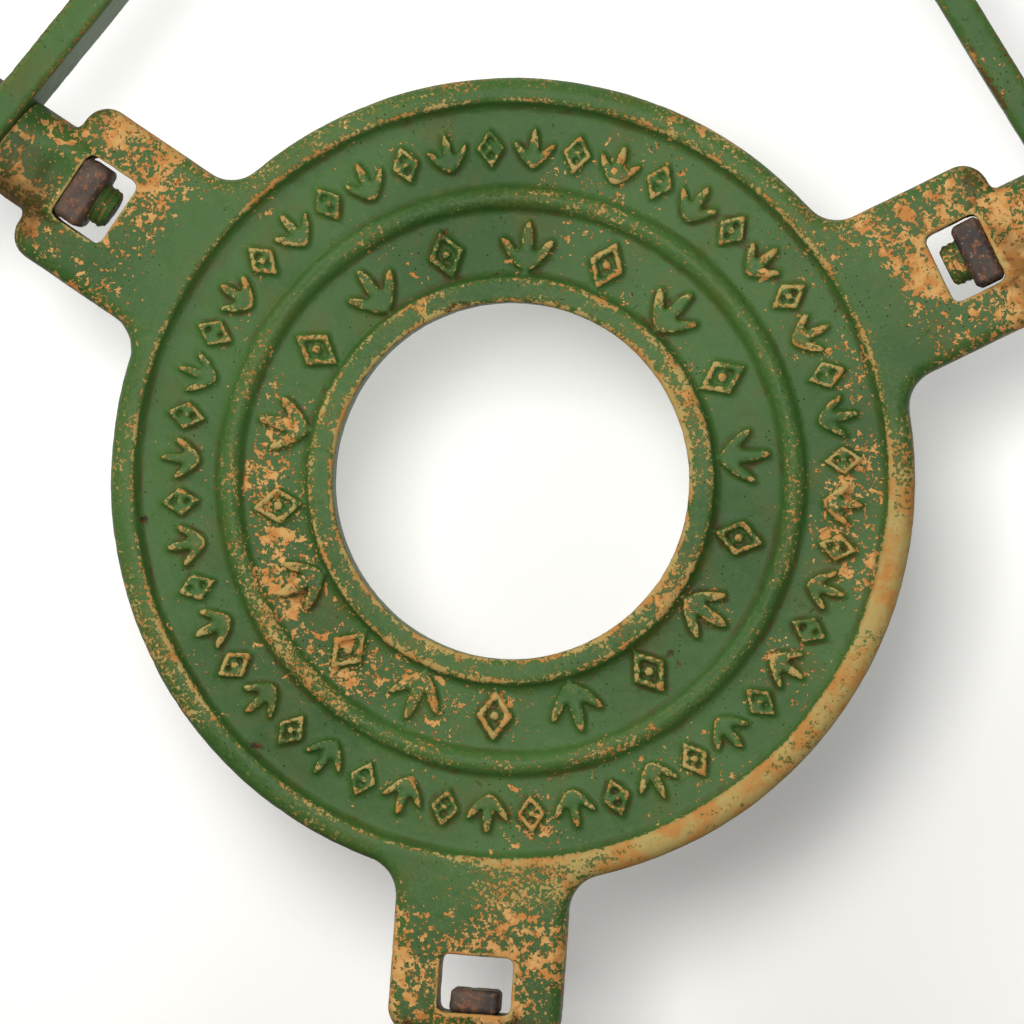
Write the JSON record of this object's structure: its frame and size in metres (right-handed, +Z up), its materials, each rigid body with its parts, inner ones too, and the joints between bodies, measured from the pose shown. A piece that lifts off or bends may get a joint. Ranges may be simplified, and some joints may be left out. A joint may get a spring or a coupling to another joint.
{
  "type": "lawn roller",
  "caption": "Water ballast lawn roller: hollow steel drum on a through axle, flat-bar A-frame braced by a cast iron ring plate, and a T handle with wooden grips.",
  "frame": {"origin": "on the ground under the middle of the axle, with the handle lowered to rest on the ground", "axes": "+X along the axle to the roller's right seen from the drum, +Y from the axle towards the handle, +Z up"},
  "size_m": [0.752, 1.4752, 0.508],
  "materials": {
    "cast_paint": "old green paint over a tan undercoat, chipped on cast iron",
    "bar_paint": "old green paint worn at the edges of flat bar",
    "end_paint": "old green paint, scuffed and rust spotted",
    "drum_steel": "rolled steel worn bare and browned by rust",
    "rusty_steel": "brown rusted steel",
    "bare_steel": "oily bare steel",
    "bronze": "dull bronze",
    "brass": "tarnished brass",
    "leather": "oiled leather washer",
    "ash_wood": "hand-worn turned ash"
  },
  "bodies": {
    "axle": {"axle_shaft": "bare_steel", "axle_washer_left": "rusty_steel", "axle_washer_right": "rusty_steel", "cotter_pin_left": "rusty_steel", "cotter_pin_right": "rusty_steel", "thrust_collar_left": "bare_steel", "thrust_collar_right": "bare_steel"},
    "drum": {"bush_left": "bronze", "bush_right": "bronze", "centre_tube": "rusty_steel", "drum_end_left": "end_paint", "drum_end_right": "end_paint", "drum_shell": "drum_steel", "filler_boss": "end_paint", "filler_washer": "leather", "hub_bolts_left": "rusty_steel", "hub_bolts_right": "rusty_steel", "hub_left": "end_paint", "hub_nuts_left": "rusty_steel", "hub_nuts_right": "rusty_steel", "hub_right": "end_paint", "rim_rivets_left": "end_paint", "rim_rivets_right": "end_paint"},
    "filler_plug": {"filler_plug": "brass"},
    "frame": {"bearing_bolts_left": "rusty_steel", "bearing_bolts_right": "rusty_steel", "bearing_left": "cast_paint", "bearing_nuts_left": "rusty_steel", "bearing_nuts_right": "rusty_steel", "bearing_right": "cast_paint", "bevel_washer_left": "rusty_steel", "bevel_washer_right": "rusty_steel", "crossbar": "bar_paint", "crossbar_bolts_left": "rusty_steel", "crossbar_bolts_right": "rusty_steel", "crossbar_nuts_left": "rusty_steel", "crossbar_nuts_right": "rusty_steel", "grip_collar_left": "rusty_steel", "grip_collar_right": "rusty_steel", "grip_ferrule_left": "brass", "grip_ferrule_right": "brass", "grip_left": "ash_wood", "grip_right": "ash_wood", "grip_rod": "rusty_steel", "grip_washer_left": "rusty_steel", "grip_washer_right": "rusty_steel", "ring_bolt_left": "rusty_steel", "ring_bolt_lower": "rusty_steel", "ring_bolt_right": "rusty_steel", "ring_nut_left": "rusty_steel", "ring_nut_lower": "rusty_steel", "ring_nut_right": "rusty_steel", "ring_plate": "cast_paint", "rod_nut_left": "rusty_steel", "rod_nut_right": "rusty_steel", "shaft_rivets": "bar_paint", "side_bar_left": "bar_paint", "side_bar_right": "bar_paint"}
  },
  "joints": [
    {"name": "drum_roll", "type": "hinge", "parent": "axle", "child": "drum", "pos_m": [0, 0, 0.254], "axis": [1, 0, 0], "continuous": true},
    {"name": "handle_swing", "type": "hinge", "parent": "axle", "child": "frame", "pos_m": [0, 0, 0.254], "axis": [1, 0, 0], "range_deg": [0, 202.1]},
    {"name": "plug_draw", "type": "slide", "parent": "drum", "child": "filler_plug", "axis": [1, 0, 0], "range_m": [0, 0.022]}
  ]
}
